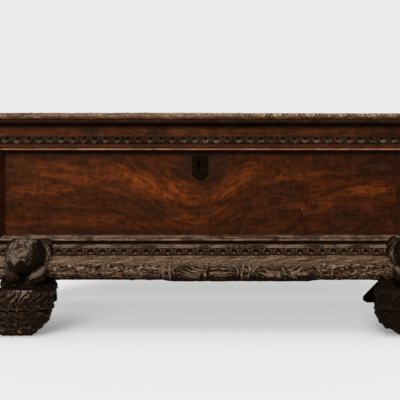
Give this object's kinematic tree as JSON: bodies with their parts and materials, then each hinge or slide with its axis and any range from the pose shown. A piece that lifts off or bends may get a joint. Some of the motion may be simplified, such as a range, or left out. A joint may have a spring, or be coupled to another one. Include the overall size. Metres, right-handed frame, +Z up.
{
  "type": "cassone",
  "caption": "Long walnut storage chest with a hinged lid, sunk front panel, egg-and-dart mouldings, carved base rail, paw feet and an iron lock.",
  "frame": {"origin": "middle of the footprint, on the floor", "axes": "+X along the chest to the right seen from the front, +Y from the front to the back, +Z up; the front faces -Y"},
  "size_m": [1.38, 0.5624, 0.615],
  "materials": {
    "panel_walnut": "old waxed walnut, figured, satin",
    "case_walnut": "old waxed walnut, dark, satin",
    "moulding_walnut": "carved walnut, waxed, worn on the high places",
    "carved_walnut": "carved walnut, dusty in the hollows, rubbed pale",
    "nosing_walnut": "carved walnut edge, rubbed pale and dry",
    "lid_walnut": "old waxed walnut, worn top",
    "plain_wood": "dry unpolished wood with saw and plane marks",
    "wrought_iron": "hand-forged iron, dark and slightly rusty"
  },
  "bodies": {
    "chest": {"front_board": "panel_walnut", "left_side_board": "case_walnut", "right_side_board": "case_walnut", "front_left_stile": "case_walnut", "front_right_stile": "case_walnut", "front_frieze_board": "case_walnut", "left_frieze_board": "case_walnut", "right_frieze_board": "case_walnut", "front_upper_egg_moulding": "moulding_walnut", "left_upper_egg_moulding": "moulding_walnut", "right_upper_egg_moulding": "moulding_walnut", "front_lower_egg_moulding": "moulding_walnut", "left_lower_egg_moulding": "moulding_walnut", "right_lower_egg_moulding": "moulding_walnut", "panel_moulding_top": "moulding_walnut", "panel_moulding_bottom": "moulding_walnut", "panel_moulding_left": "moulding_walnut", "panel_moulding_right": "moulding_walnut", "front_torus_rail": "carved_walnut", "left_torus_rail": "carved_walnut", "right_torus_rail": "carved_walnut", "front_left_foot": "carved_walnut", "front_right_foot": "carved_walnut", "front_left_paw_block": "carved_walnut", "front_right_paw_block": "carved_walnut", "back_board": "plain_wood", "bottom_plank_front": "plain_wood", "bottom_plank_middle": "plain_wood", "bottom_plank_rear": "plain_wood", "back_base_rail": "plain_wood", "rear_left_foot": "plain_wood", "rear_right_foot": "plain_wood", "foot_dowels": "plain_wood", "left_hinge_body_leaf": "wrought_iron", "right_hinge_body_leaf": "wrought_iron", "hinge_pins": "wrought_iron", "hinge_body_nails": "wrought_iron", "escutcheon": "wrought_iron", "escutcheon_nails": "wrought_iron", "lock_plate": "wrought_iron", "lock_case": "wrought_iron", "lock_key_post": "wrought_iron", "lock_spring": "wrought_iron", "lock_nails": "wrought_iron"},
    "lid": {"lid_front_plank": "lid_walnut", "lid_rear_plank": "lid_walnut", "lid_front_nosing": "nosing_walnut", "lid_left_nosing": "nosing_walnut", "lid_right_nosing": "nosing_walnut", "lid_left_batten": "lid_walnut", "lid_right_batten": "lid_walnut", "batten_nails": "wrought_iron", "left_hinge_lid_leaf": "wrought_iron", "right_hinge_lid_leaf": "wrought_iron", "hinge_lid_nails": "wrought_iron", "lid_staple": "wrought_iron"},
    "lock_bolt": {"lock_bolt": "wrought_iron"}
  },
  "joints": [
    {"name": "lid_hinge", "type": "hinge", "parent": "chest", "child": "lid", "pos_m": [0, 0.27525, 0.59], "axis": [-1, 0, 0], "range_deg": [0, 100]},
    {"name": "lock_bolt_slide", "type": "slide", "parent": "chest", "child": "lock_bolt", "axis": [1, 0, 0], "range_m": [0, 0.012]}
  ]
}
